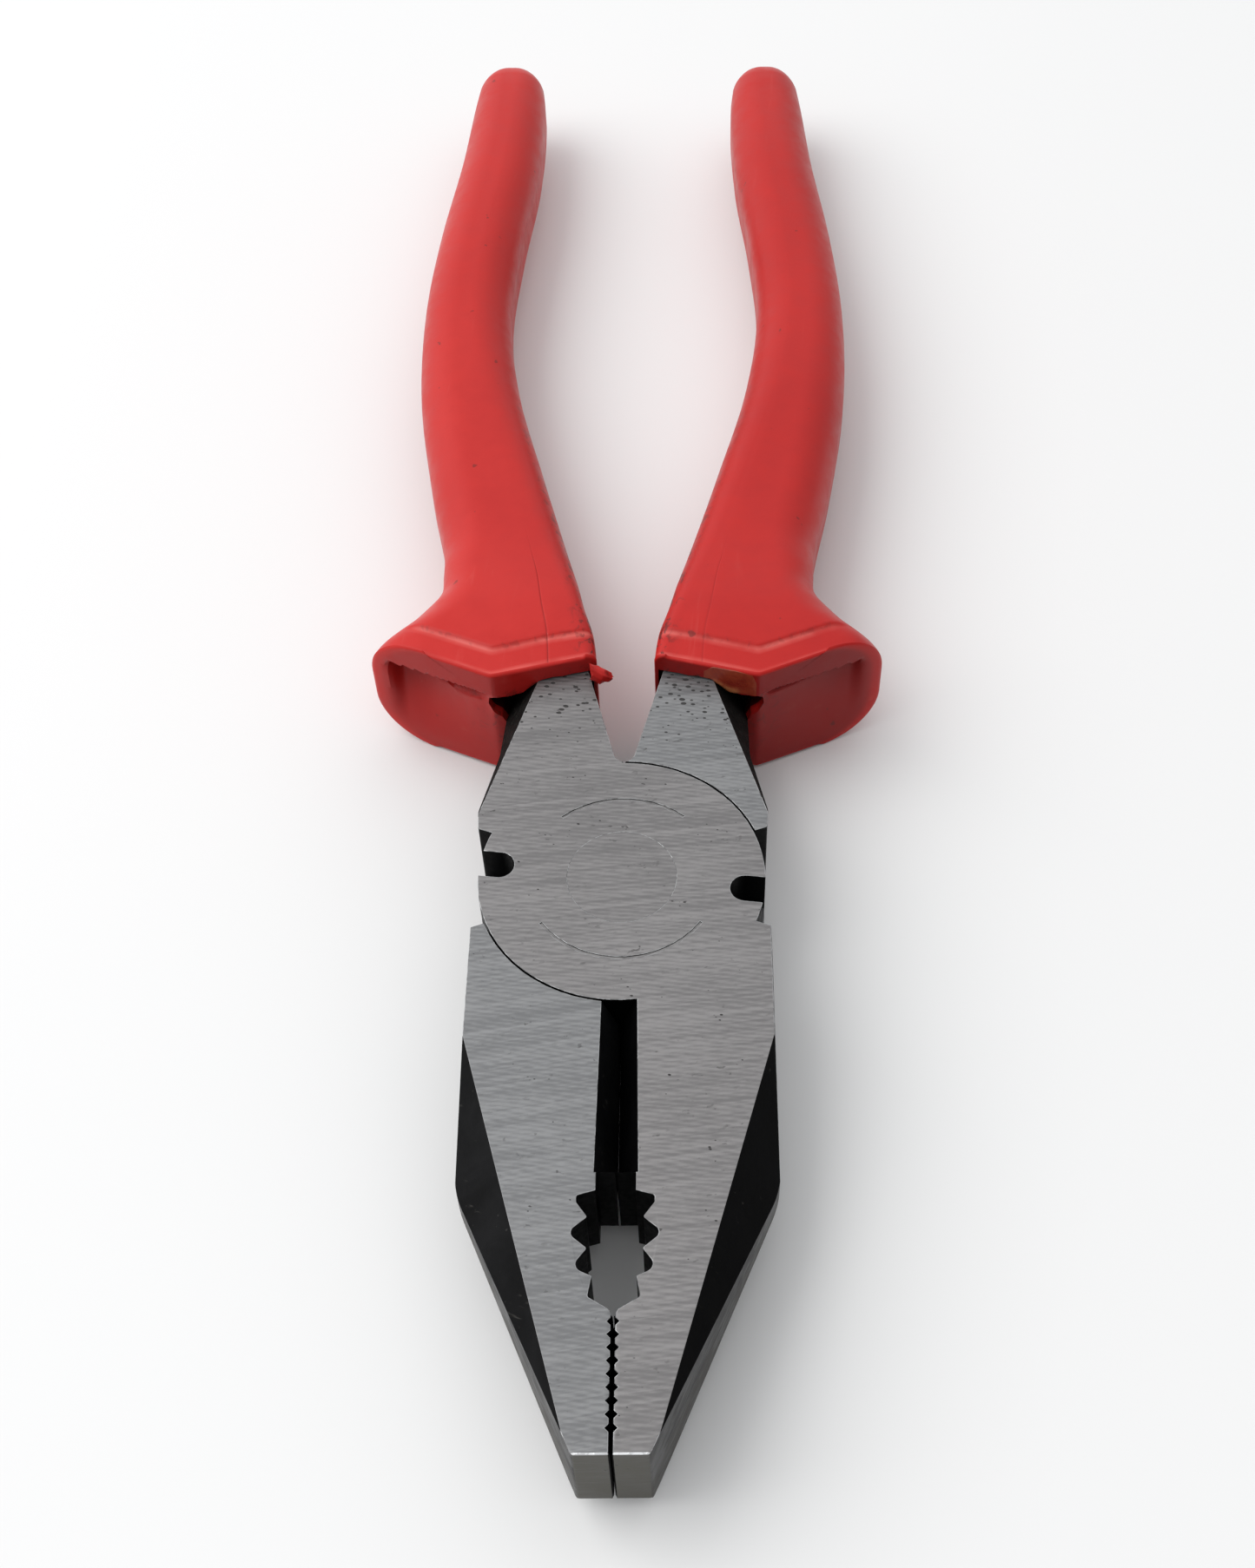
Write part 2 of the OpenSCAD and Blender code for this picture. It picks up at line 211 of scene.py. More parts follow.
def black_oxide(name, base, worn, seed, rough=(0.36, 0.5), grit=0.5, gloss=0.04):
    """Forged faces under black oxide: fine grit, soft forging waves and a few rubbed marks."""
    n = Nodes(name, Metallic=0.0, Roughness=0.4, Specular_IOR_Level=gloss)
    shift = (seed, seed * 0.6, seed * 0.2)
    fine = n.noise(1700, 0, 3, 0.6, 0, shift)
    waves = n.noise((120, 170, 170), 0, 3, 0.55, 0.5, shift)
    scratches = n.noise((200, 2400, 700), 0.5, 2, 0.5, 0.4, shift)
    color = n.mix(n.remap(waves, 0.35, 0.75), base, [c * 2.2 for c in base])
    patch = n.remap(n.noise(260, 0, 2, 0.5, 0, shift), 0.5, 0.68)
    rub = n.times(n.remap(scratches, 0.64, 0.76), patch)
    color = n.mix(n.times(rub, 0.5), color, worn)
    dust = n.remap(n.noise(1300, 0, 2, 0.5, 0, shift), 0.72, 0.78)
    color = n.mix(n.times(dust, 0.35), color, worn)
    height = n.plus(n.times(fine, grit), n.times(waves, 1.4))
    return n.finish(color, n.remap(fine, 0.35, 0.65, *rough), n.bump(height, 0.00006, 0.5))


def fibrous_scale(name, base, light, seed):
    """Rough tang flank: dry forging scale with fibres of dust in it."""
    n = Nodes(name, Metallic=0.0, Roughness=0.85, Specular_IOR_Level=0.04)
    shift = (seed, 0, 0)
    fibre = n.noise((900, 500, 1500), 0.4, 5, 0.75, 2.2, shift)
    lumps = n.noise(620, 0, 4, 0.65, 0, shift)
    color = n.mix(n.remap(lumps, 0.4, 0.7), base, [c * 2.2 for c in base])
    color = n.mix(n.times(n.remap(fibre, 0.56, 0.7), 0.5), color, light)
    height = n.plus(fibre, n.times(lumps, 1.3))
    return n.finish(color, n.remap(fibre, 0.4, 0.7, 0.6, 0.9), n.bump(height, 0.00018, 0.7))


def brown_steel(name, low, high, seed, metal=0.75, black_above=None):
    """Dull ground end and edge faces of the nose, brown-grey with nicks, black above a height in mm."""
    n = Nodes(name, Metallic=metal, Roughness=0.5, IOR=1.6)
    shift = (seed, seed * 0.3, 0)
    lines = n.noise((260, 260, 2200), 0, 3, 0.6, 0.5, shift)
    clouds = n.noise(230, 0, 4, 0.6, 0.3, shift)
    tone = n.plus(n.times(lines, 0.5), n.times(clouds, 0.6))
    color = n.mix(n.remap(tone, 0.38, 0.72), low, high)
    spots = n.cells((1100, 1100, 700), 0, shift)
    pit = n.remap(spots, 0.12, 0.2, 1.0, 0.0)
    pit = n.times(pit, n.remap(n.noise(420, 0, 2, 0.5, 0, shift), 0.55, 0.6))
    color = n.mix(n.times(pit, 0.8), color, (0.012, 0.011, 0.01))
    if black_above is not None:
        ragged = n.noise(300, 0, 3, 0.6, 0, shift)
        ragged = n.plus(n.axis(2), n.times(ragged, 0.0016))
        top = n.remap(ragged, (black_above - 0.6) * MM, (black_above + 1.6) * MM)
        color = n.mix(top, color, (0.0045, 0.0043, 0.0042))
    height = n.minus(tone, pit)
    return n.finish(color, n.remap(tone, 0.4, 0.7, 0.38, 0.6), n.bump(height, 0.00004, 0.5))


def moulded_red(name, base, deep, seed):
    """Semi-gloss moulded vinyl: faint flow clouds, fine orange peel, handling marks and dirt, with painted
    shade and painted highlight read from vertex attributes.
    """
    n = Nodes(name, Metallic=0.0, Roughness=0.4, Specular_IOR_Level=0.22)
    shift = (seed, seed * 0.4, seed * 0.7)
    clouds = n.noise((38, 22, 60), 0, 3, 0.5, 0.4, shift)
    mottle = n.noise(420, 0, 3, 0.6, 0, shift)
    tone = n.plus(n.times(clouds, 0.75), n.times(mottle, 0.25))
    color = n.mix(n.remap(tone, 0.32, 0.7), deep, base)
    # rubbed, slightly chalky streaks along the handle
    streak = n.noise((700, 60, 500), 0.08, 3, 0.6, 0.5, shift)
    rub = n.times(n.remap(streak, 0.6, 0.78), n.remap(clouds, 0.45, 0.7))
    color = n.mix(n.times(rub, 0.1), color, (0.8, 0.35, 0.3))
    # dirt and painted shade: dark specks where the vertex mask is high, and a few anywhere; the same mask
    # darkens the colour in patches, as dirt along the inner edge and as painted shade at the guard's mouth
    # and in the pocket
    specks = n.noise((900, 700, 900), 0, 3, 0.6, 0.8, shift)
    dirt_and_shade = n.times(n.attribute("dirt_and_shade"), n.remap(specks, 0.53, 0.61))
    stray = n.times(n.remap(n.noise(520, 0, 2, 0.5, 0, shift), 0.735, 0.765), 0.55)
    dirt_and_shade_patches = n.remap(n.noise(260, 0, 3, 0.6, 0, shift), 0.4, 0.75, 0.0, 0.35)
    shade = n.times(n.attribute("dirt_and_shade"), dirt_and_shade_patches)
    color = n.mix(shade, color, (0.16, 0.008, 0.008))
    # painted highlight: pale on the ridge and along the front's top edge; painted shade: darker on the
    # guard's front and in its hollow
    highlight_patches = n.remap(n.noise(160, 0, 3, 0.6, 0, shift), 0.35, 0.6, 0.25, 0.75)
    color = n.mix(n.times(n.attribute("painted_highlight"), highlight_patches), color, (0.72, 0.15, 0.13))
    color = n.mix(n.times(n.attribute("deep"), 0.72), color, (0.09, 0.004, 0.004))
    color = n.mix(n.larger(n.times(dirt_and_shade, 0.85), stray), color, (0.06, 0.012, 0.01))
    color = n.mix(n.attribute("groove"), color, (0.2, 0.008, 0.008))
    rough = n.plus(n.remap(mottle, 0.3, 0.7, 0.33, 0.45), n.times(rub, 0.2))
    peel = n.noise(1500, 0, 2, 0.5, 0, shift)
    height = n.plus(n.times(peel, 0.35), n.times(mottle, 0.8))
    return n.finish(color, rough, n.bump(height, 0.00004, 0.35))


def cured_amber(name, seed):
    """Cured adhesive: amber in soft clouds, with trapped bubbles."""
    n = Nodes(name, Metallic=0.0, Roughness=0.3, Specular_IOR_Level=0.5)
    shift = (seed, 0, seed)
    clouds = n.noise(320, 0, 4, 0.6, 0.6, shift)
    color = n.mix(n.remap(clouds, 0.35, 0.7), (0.19, 0.016, 0.010), (0.28, 0.040, 0.014))
    # painted highlight: paler along the bead's crest, in patches
    patch = n.remap(n.noise(700, 0, 3, 0.6, 0, shift), 0.3, 0.6)
    bead_highlight = n.times(n.attribute("bead_highlight"), patch)
    color = n.mix(bead_highlight, color, (0.36, 0.13, 0.05))
    bubbles = n.cells(1500, 0, shift)
    height = n.plus(clouds, n.times(n.remap(bubbles, 0.0, 0.3, 0.0, 0.5), 0.5))
    return n.finish(color, n.remap(clouds, 0.3, 0.7, 0.22, 0.4), n.bump(height, 0.00008, 0.5))


# ---------------------------------------------------------------- mesh helpers
def new_object(name, bm, materials, body):
    mesh = bpy.data.meshes.new(name)
    bm.to_mesh(mesh)
    bm.free()
    for m in materials:
        mesh.materials.append(m)
    obj = bpy.data.objects.new(name, mesh)
    bpy.context.scene.collection.objects.link(obj)
    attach(obj, body)
    return obj


def sharpen(bm, degrees):
    """Smooth shading, with sharp edges where faces meet at more than the angle."""
    limit = math.radians(degrees)
    for f in bm.faces:
        f.smooth = True
    for e in bm.edges:
        e.smooth = not e.is_manifold or e.calc_face_angle() < limit


# ---------------------------------------------------------------- steel
GROUND_A = ground_steel("steel_ground_a", (0.240, 0.232, 0.232), (0.142, 0.137, 0.138), -0.13, 3.1)
GROUND_B = ground_steel("steel_ground_b", (0.238, 0.241, 0.245), (0.140, 0.142, 0.146), -0.17, 7.7, 0.8)
# painted shade: both halves have one black oxide, the upper half's made four times darker for its flank
# lying in shade on the right
OXIDE_A_SHADED = black_oxide("black_oxide_a_shaded", (0.0010, 0.0010, 0.0011), (0.04, 0.037, 0.034), 1.3)
OXIDE_B = black_oxide("black_oxide_b", (0.0040, 0.0040, 0.0043), (0.06, 0.057, 0.053), 4.3)
SCALE = fibrous_scale("forging_scale", (0.0055, 0.0052, 0.0050), (0.085, 0.076, 0.064), 5.0)
NOSE_END = brown_steel("nose_end_steel", (0.042, 0.039, 0.031), (0.102, 0.099, 0.083), 2.0)
NOSE_SIDE = brown_steel("nose_side_steel", (0.007, 0.006, 0.005), (0.036, 0.032, 0.026), 6.0, 0.3, MID)
LAP = black_oxide("lap_steel", (0.05, 0.05, 0.052), (0.3, 0.3, 0.3), 8.0, (0.25, 0.4), 0.3, 0.4)
WORN = worn_edge("worn_edge", (0.34, 0.345, 0.35), 2.5, 0.75)
# painted highlight: the nose's top edge is worn bright and given a steel three times lighter than the
# ground faces, for the light it catches
BRIGHT_HIGHLIGHT = worn_edge("bright_edge_highlight", (0.75, 0.76, 0.77), 8.5, 0.3)

# the finishes of a forging, in the order of its material slots
FACE, BLACK, FLANK, END, SIDE, LAPPED, EDGE, TOP_EDGE = range(8)
NOSE_Y = -59.4
FACE_Z = 5.5  # level faces beyond this are ground
SEAT_R = 15.2
TANG_FROM = 14
NOSE_FROM = -27


def steel_slot(face):
    """Which finish a forging's face has, from where it lies and how it faces."""
    c, nrm = face.calc_center_median() / MM, face.normal
    z = c.z - MID
    if abs(nrm.z) > 0.97:
        if abs(z) > FACE_Z:
            return FACE
        return LAPPED if c.xy.length < SEAT_R else BLACK
    if nrm.y < -0.9 and c.y < NOSE_Y + 0.3:
        return END
    if c.y < NOSE_FROM and abs(nrm.z) < 0.2 and abs(nrm.x) > 0.5 and abs(c.x) > 2.0:
        return SIDE if abs(c.x) > 3.0 + 0.3 * (c.y - NOSE_Y) else BLACK
    if c.y > TANG_FROM:
        return FLANK
    return BLACK


def forging(node, body, ground, oxide):
    """The forging's own faces, welded, with its sharp edges eased and each face's finish."""
    bm = bmesh.new()
    bm.from_mesh(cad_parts[node].data)
    bmesh.ops.remove_doubles(bm, verts=bm.verts[:], dist=2e-6)
    bmesh.ops.dissolve_limit(bm, angle_limit=math.radians(0.4), verts=bm.verts[:], edges=bm.edges[:])
    bmesh.ops.dissolve_degenerate(bm, dist=3.5e-5, edges=bm.edges[:])
    for f in bm.faces:
        f.material_index = steel_slot(f)

    def finishes_at(e):
        return {f.material_index for f in e.link_faces}

    def ease(edges, width):
        made = bmesh.ops.bevel(
            bm, geom=edges, offset=width, offset_type="OFFSET", segments=2, profile=0.6,
            affect="EDGES", clamp_overlap=False, material=-1)
        return made["faces"]

    def eased(e):
        return (e.is_manifold and e.is_convex and e.calc_face_angle() > math.radians(25)
                and e.calc_length() > 6e-5)

    # the nose's top edge: eased wider and given the bright edge steel, a painted highlight
    nose = [e for e in bm.edges if eased(e) and finishes_at(e) == {FACE, END}]
    for f in ease(nose, 1.6e-4):
        f.material_index = TOP_EDGE
    rest = [e for e in bm.edges if eased(e) and TOP_EDGE not in finishes_at(e)]
    for f in ease(rest, 6e-5):
        if f.is_valid and f.calc_area() < 2e-6 and any(FACE in finishes_at(e) for e in f.edges):
            f.material_index = EDGE
    bmesh.ops.triangulate(bm, faces=[f for f in bm.faces if len(f.verts) > 4])
    sharpen(bm, 32)
    finishes = [ground, oxide, SCALE, NOSE_END, NOSE_SIDE, LAP, WORN, BRIGHT_HIGHLIGHT]
    obj = new_object(node + "_ground", bm, finishes, body)
    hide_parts(node)
    weigh = obj.modifiers.new("face_weighted_normals", "WEIGHTED_NORMAL")
    weigh.keep_sharp = True
    weigh.weight = 80


forging("jaw_half_upper", "upper_half", GROUND_A, OXIDE_A_SHADED)
forging("jaw_half_lower", "lower_half", GROUND_B, OXIDE_B)

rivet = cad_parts["rivet"]
rivet.material_slots[0].material = ground_steel(
    "rivet_ground", (0.236, 0.228, 0.228), (0.140, 0.135, 0.136), -0.11, 12.0, 0.4)

# ---------------------------------------------------------------- sleeves
# [y, inner x, outer x, half height, inner corner radius, outer corner radius], mm
SECTIONS = (
    (22, 2.8, 25.4, 8.5, 1.5, 4.8), (31, 3.5, 28.85, 8.5, 1.6, 6.4), (36, 4.75, 24.9, 8.3, 1.8, 6.4),
    (40, 5.55, 21.7, 7.85, 2.2, 4.6), (44, 6.5, 21.5, 7.4, 2.6, 4.4), (49, 7.7, 21.9, 7.0, 3.0, 5.0),
    (60, 10.4, 24.2, 6.5, 3.4, 5.2), (76, 14.2, 26.7, 6.25, 4.0, 5.0), (92, 16.1, 27.3, 6.1, 4.2, 4.6),
    (108, 15.3, 26.4, 6.1, 4.2, 4.9), (124, 13.7, 24.6, 6.0, 4.2, 4.8), (140, 13.55, 23.35, 5.4, 3.8, 4.2),
    (152, 15.8, 21.7, 4.8, 3.0, 3.0))
TANG = ((27, 4.0, 13.5), (36, 6.2, 14.6), (48, 9.3, 18.2), (60, 12.4, 21.0), (76, 16.6, 23.9),
        (92, 18.6, 24.8), (108, 17.5, 23.9), (124, 16.1, 22.1), (140, 16.4, 20.9))
TANG_HALF = ((27, 5.75), (60, 5.0), (100, 4.2), (140, 3.5))
FRONT, CORNER = 24.9, 14.6  # the guard's foremost corner: y, x
SLEEVE_END, DOME = 147.3, 141.0
BED = 0.25  # thickness of the adhesive bed
IN_SWEEP, OUT_SWEEP = math.tan(math.radians(13.8)), math.tan(math.radians(23.7))
EDGE_R = 0.45
RIDGE = 4.1  # how far the ridge lies behind the front edge
CREASE = 0.38  # where the parting line runs, across the top's inner part
TOP_STEPS, CORNER_STEPS, OUTER_STEPS, INNER_STEPS = 26, 18, 14, 8


def hermite(table, y, k):
    """A smooth curve through a table's column k, with slopes from the neighbouring rows."""
    i = max(j for j in range(len(table) - 1) if table[j][0] <= y or j == 0)

    def slope(j):
        a, b = max(j - 1, 0), min(j + 1, len(table) - 1)
        return (table[b][k] - table[a][k]) / (table[b][0] - table[a][0])

    w = table[i + 1][0] - table[i][0]
    s = (y - table[i][0]) / w
    return (table[i][k] * (1 + 2 * s) * (1 - s) ** 2 + table[i + 1][k] * s * s * (3 - 2 * s)
            + slope(i) * w * s * (1 - s) ** 2 - slope(i + 1) * w * s * s * (1 - s))


GRID = 0.25
SAMPLED = {}


def at(table, y, k):
    """A table's column k at y, read from the curve sampled once every GRID mm."""
    key = (id(table), k)
    if key not in SAMPLED:
        count = int((table[-1][0] - table[0][0]) / GRID) + 1
        SAMPLED[key] = [hermite(table, table[0][0] + i * GRID, k) for i in range(count)]
    values = SAMPLED[key]
    s = min(max((y - table[0][0]) / GRID, 0), len(values) - 1.001)
    i = int(s)
    return values[i] + (values[i + 1] - values[i]) * (s - i)


def chevron(x):
    """How far the guard's front lies behind its foremost corner at x."""
    d = x - CORNER
    k = OUT_SWEEP if d > 0 else IN_SWEEP
    return k * (math.sqrt(d * d + 0.04) - 0.2)


def columns():
    """The points round a section, as (side, how far along it), clockwise from the inner top corner."""
    line = [CREASE + d for d in (-0.03, -0.012, 0, 0.012, 0.03)]
    even = [i / TOP_STEPS for i in range(TOP_STEPS)]
    inner_part = sorted([f for f in even if abs(f - CREASE) > 0.035] + line)
    corner = [i / CORNER_STEPS for i in range(CORNER_STEPS)]
    outer = [i / OUTER_STEPS for i in range(OUTER_STEPS)]
    inner = [i / INNER_STEPS for i in range(INNER_STEPS)]
    out = [("top_in", f, 1) for f in inner_part] + [("top_out", f, 1) for f in even]
    out += [("corner_out", f, 1) for f in corner]
    out += [("side_out", f, 1) for f in outer]
    out += [("corner_out", 1 - f, -1) for f in corner]
    out += [("top_out", 1 - f, -1) for f in even]
    out += [("top_in", 1 - f, -1) for f in [0] + [1 - f for f in reversed(inner_part)][:-1]]
    out += [("corner_in", 1 - f, -1) for f in inner]
    out += [("side_in", f, 1) for f in inner]
    out += [("corner_in", f, 1) for f in inner]
    return out


COLUMNS = columns()


def skin(y, column):
    """Where a column crosses the sleeve's outer surface at y: x, z from the mid-plane."""
    side, f, up = column
    y = min(max(y, SECTIONS[0][0]), SECTIONS[-1][0])
    xi, xo, h, ri, ro = (at(SECTIONS, y, k) for k in (1, 2, 3, 4, 5))
    a, b = xi + ri, xo - ro
    knee = CORNER + (a + 0.58 * (b - a) - CORNER) * smooth(32, 50, y)
    if side == "top_in":
        return a + (knee - a) * f, up * h
    if side == "top_out":
        return knee + (b - knee) * f, up * h
    if side == "corner_out":
        t = math.radians(90 * (1 - f))
        return b + ro * math.cos(t), up * (h - ro + ro * math.sin(t))
    if side == "side_out":
        return xo, (h - ro) * (1 - 2 * f)
    if side == "side_in":
        return xi, -(h - ri) * (1 - 2 * f)
    t = math.radians(90 * f)
    return a - ri * math.cos(t), up * (h - ri + ri * math.sin(t))


def place(back, column):
    """A point on the outer surface, back mm behind the front along Y."""
    nominal = FRONT + back
    hold = 1 - smooth(31, 58, nominal)
    y = nominal
    # y depends on x and x on y, so a few rounds settle both
    for _ in range(7):
        y = nominal + hold * chevron(skin(y, column)[0])
    x, z = skin(y, column)
    return x, y, z


def band(x, back):
    """How far the band in front of the ridge is sunk."""
    side = smooth(2.6, 5.2, x) * (1 - smooth(23.2, 26.4, x))
    step = 1 - smooth(RIDGE - 0.35, RIDGE + 0.3, back)
    return 0.34 * step * side


def pocket(y, column, mouth):
    """The tang's pocket at y. At the mouth it follows the bevelled neck of the tang."""
    side, f, up = column
    xi, xo = at(TANG, y, 1) - BED, at(TANG, y, 2) + BED
    h = at(TANG_HALF, y, 1) + BED
    turn = f * math.pi / 2
    core = {
        "top_in": (xi + (xo - 1 - xi) * f, up * h), "top_out": (xo - 1 + 0.8 * f, up * h),
        "corner_out": (xo - 0.2 + 0.2 * math.sin(turn), up * (h - 0.2 + 0.2 * math.cos(turn))),
        "side_out": (xo, (h - 0.2) * (1 - 2 * f)), "side_in": (xi, -(h - 0.1) * (1 - 2 * f)),
        "corner_in": (xi, up * (h - 0.1 + 0.1 * f))}[side]
    if mouth <= 0:
        return core
    xm = 3.5 + 0.14 * (y - 25)
    if up > 0:
        rim = ((xm, 5.98), (9.3, 6.02), (10.3, 5.3), (11.4, 4.5), (12.6, 4.3), (CORNER, 4.45))
        outer = ((CORNER, 4.45), (15.1, 4.05))
        corner = ((15.1, 4.05), (15.25, 3.0), (14.7, 1.9), (13.85, 1.0))
    else:
        rim = ((xm, -5.98), (9.5, -6.02), (10.3, -5.2), (11.2, -4.2))
        outer = ((11.2, -4.2), (11.6, -3.6))
        corner = ((11.6, -3.6), (13.15, -1.0))
    path = {
        "top_in": rim, "top_out": outer, "corner_out": corner,
        "side_out": ((13.85, 1.0), (13.15, -1.0)), "side_in": ((xm, -5.7), (xm, 5.7)),
        "corner_in": ((xm, up * 5.7), (xm, up * 5.98))}[side]
    s = f * (len(path) - 1)
    i = min(int(s), len(path) - 2)
    front = [path[i][k] + (path[i + 1][k] - path[i][k]) * (s - i) for k in (0, 1)]
    if side == "top_in":
        front[1] += 0.14 * noise.noise(Vector((front[0] * 1.1, up * 7.0, 0.3))) * smooth(0, 0.1, f)
    return core[0] + (front[0] - core[0]) * mouth, core[1] + (front[1] - core[1]) * mouth


def scoop(x, z, style):
    """Depth of the hollow in the guard's front at x and z."""
    if x < CORNER - 0.3:
        return 0.0
    reach, seed = style["reach"], style["seed"]
    u = min(max((x - CORNER) / (reach - CORNER), 0.0), 1.0)
    top = 4.8 - 0.3 * u + 0.12 * noise.noise(Vector((x * 0.5, 2.0 + seed, 0)))
    slot = style["slot"] * (4 * u * (1 - u)) ** 0.9
    lip = top - 0.35 - slot + 0.25 * noise.noise(Vector((x * 0.6, seed, 0)))
    below = smooth(top + 0.05, top - 0.45, z)
    outer = 1 - smooth(reach - 1.7, reach + 0.2, x)
    floor = style["floor"] * (0.12 + 0.88 * smooth(0.05, 0.8, u))
    floor *= 1 - smooth(lip + 0.4, -6.6, z) ** 0.75
    groove = style["groove"] * smooth(lip - 0.35, lip + 0.45, z) * smooth(0.0, 0.2, u)
    start = smooth(CORNER - 0.3, CORNER + 1.2, x)
    return below * outer * start * (floor + groove)


def sleeve(name, node, body, side, style, material):
    """A moulded sleeve: outer skin, chevron front with its hollow, and the tang's pocket."""
    bm = bmesh.new()
    # vertex masks for the material: the first darkens, as dirt along the inner edge and as painted shade
    # at the mouth and in the pocket; the second darkens the parting line; the third is painted shade on
    # the front and in its hollow; the fourth is a painted highlight on the ridge and the front's top edge
    dirt_and_shade = bm.verts.layers.float.new("dirt_and_shade")
    groove = bm.verts.layers.float.new("groove")
    deep = bm.verts.layers.float.new("deep")
    painted_highlight = bm.verts.layers.float.new("painted_highlight")
    seed = style["seed"]
    count = len(COLUMNS)

    def vert(x, y, z, d=0.0, g=0.0):
        v = bm.verts.new((side * x * MM, y * MM, (z + MID) * MM))
        v[dirt_and_shade], v[groove] = d, g
        return v

    def join(a, b, finish):
        for i in range(count):
            j = (i + 1) % count
            bm.faces.new((a[i], a[j], b[j], b[i])).material_index = finish

    rows = []
    # outer skin, from the domed end to the front edge
    close = (0, 0.25, 0.6, 1.2, 1.9, 2.6, 3.1, 3.35, 3.55, 3.75, 3.95, 4.2, 4.7, 5.4, 6.2, 7, 8)
    backs = [EDGE_R + b for b in close]
    backs += [9.2 + 1.1 * i for i in range(30)] + [43.5 + 2.2 * i for i in range(34)]
    backs = [b for b in backs if FRONT + b < DOME - 0.5]
    for k in range(15):
        a = math.radians(90 - k * 6)
        y = DOME + (SLEEVE_END - DOME) * math.sin(a)
        xm = (at(SECTIONS, y, 1) + at(SECTIONS, y, 2)) / 2
        f = max(math.cos(a), 0.012)
        ring = []
        for column in COLUMNS:
            x, z = skin(y, column)
            ring.append(vert(xm + (x - xm) * f, y, z * f))
        rows.append(ring)
    for back in reversed(backs):
        ring = []
        for column in COLUMNS:
            kind, f, up = column
            x, y, z = place(back, column)
            xi, xo, h = (at(SECTIONS, y, k) for k in (1, 2, 3))
            across = (x - xi) / (xo - xi)
            from_crease = x - skin(y, ("top_in", CREASE, 1))[0]
            lean = 0.035 if from_crease > 0 else 0.035 + 0.06 * smooth(10, 40, back)
            drop = lean * (math.sqrt(from_crease ** 2 + 0.16) - 0.4) * smooth(0.3, 0.9, abs(z) / h)
            drop += band(x, back) * smooth(0.75, 0.98, abs(z) / h)
            wave = noise.noise(Vector((x * 0.09, y * 0.045, z * 0.1 + seed)))
            g = 0.0
            if up > 0 and kind == "top_in" and abs(f - CREASE) < 0.011:
                g = (1 - smooth(13, 25, back)) * style["line"]
                drop += 0.12 * g
            drop += 0.08 * (wave + 0.6)
            z -= math.copysign(min(drop, abs(z)), z)
            # dirt along the inner edge, darker along the ridge, and a painted highlight on the ridge and
            # the front's top edge
            high = abs(z) / h
            on_top = smooth(0.8, 0.95, high)
            darkening = (1 - smooth(0.0, 0.12, across)) * smooth(0.45, 0.8, high) * (1 - smooth(30, 70, back))
            darkening = max(darkening, (1 - smooth(0.0, 0.06, across)) * 0.12)
            darkening = max(darkening, 0.3 * (smooth(0.6, 0, abs(back - RIDGE)) * on_top))
            v = vert(x, y, z, darkening, g)
            v[painted_highlight] = smooth(0.42, 0.08, abs(back - RIDGE + 0.3)) * on_top
            v[painted_highlight] = max(v[painted_highlight], 0.6 * smooth(1.1, 0.5, back) * on_top)
            ring.append(v)
        rows.append(ring)
    # the front: from the outer edge in to the pocket
    outline = [skin(FRONT + chevron(place(0, c)[0]), c) for c in COLUMNS]
    mouth = [pocket(25.6, c, 1.0) for c in COLUMNS]
    steps = [0.06, 0.15, 0.28, 0.45, 0.8, 1.2, 1.6]
    steps += [1.9 + 0.16 * i for i in range(40)] + [8.4 + 0.25 * i for i in range(17)]
    rims = []
    for i, column in enumerate(COLUMNS):
        (x0, z0), (x1, z1) = outline[i], mouth[i]
        if abs(z0) > 7 and column[0] in ("top_in", "top_out"):
            z0 = math.copysign(abs(z0) - band(x0, 0), z0)
        length = math.hypot(x1 - x0, z1 - z0)
        r = min(EDGE_R, 0.4 * length)
        col = []
        for s in steps:
            t = s / steps[-1]
            x, z = x0 + (x1 - x0) * t, z0 + (z1 - z0) * t
            dip = r - math.sqrt(max(r * r - max(r - t * length, 0) ** 2, 0))
            y = FRONT + chevron(x) + dip * EDGE_R / r + scoop(x, z, style)
            col.append((x, y, z, t))
        rims.append(col)
    for k in range(len(steps)):
        ring = []
        for col in rims:
            x, y, z, t = col[k]
            # painted shade: the front darkens towards the pocket's mouth and on its inner leg, more by the
            # style's shade, and most in the hollow
            shade = 0.5 * smooth(0.6, 1.0, t) + 0.25 * smooth(14, 10, x) * smooth(0.2, 0.6, t)
            v = vert(x, y, z, shade)
            hollow = smooth(0.5, style["floor"] + style["groove"], scoop(x, z, style))
            v[deep] = style["shade"] * smooth(0.04, 0.12, t) + 0.5 * hollow * smooth(-6.5, 3.5, z)
            ring.append(v)
        rows.append(ring)
    # the pocket: from the mouth back to the tang's end, with painted shade: darkened at the mouth, and a
    # near-black copy of the red further in
    depths = [(25.6, 1), (26.2, 1), (27.5, 1), (29.5, 0.8), (31.5, 0.4), (34, 0)]
    depths += [(y, 0) for y in (38, 44, 52, 60, 68, 76, 84, 92, 100, 108, 116, 124, 131, 138.25)]
    dark_from = len(rows) + 1
    for k, (y, m) in enumerate(depths):
        ring = []
        for i, column in enumerate(COLUMNS):
            x, z = pocket(min(y, 140), column, m)
            front_y = rims[i][-1][1]
            yy = max(y + (chevron(x) if m > 0.9 else 0), front_y + 0.3 + 0.45 * k) if k < 5 else y
            ring.append(vert(x, yy, z, 0.6))
        rows.append(ring)
    for k, (a, b) in enumerate(zip(rows, rows[1:])):
        join(a, b, 1 if k >= dark_from else 0)
    bm.faces.new(list(reversed(rows[0])))
    bm.faces.new(rows[-1])
    bmesh.ops.recalc_face_normals(bm, faces=bm.faces[:])
    sharpen(bm, 42)
    obj = new_object(name, bm, [material, POCKET_SHADE_RED], body)
    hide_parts(node)


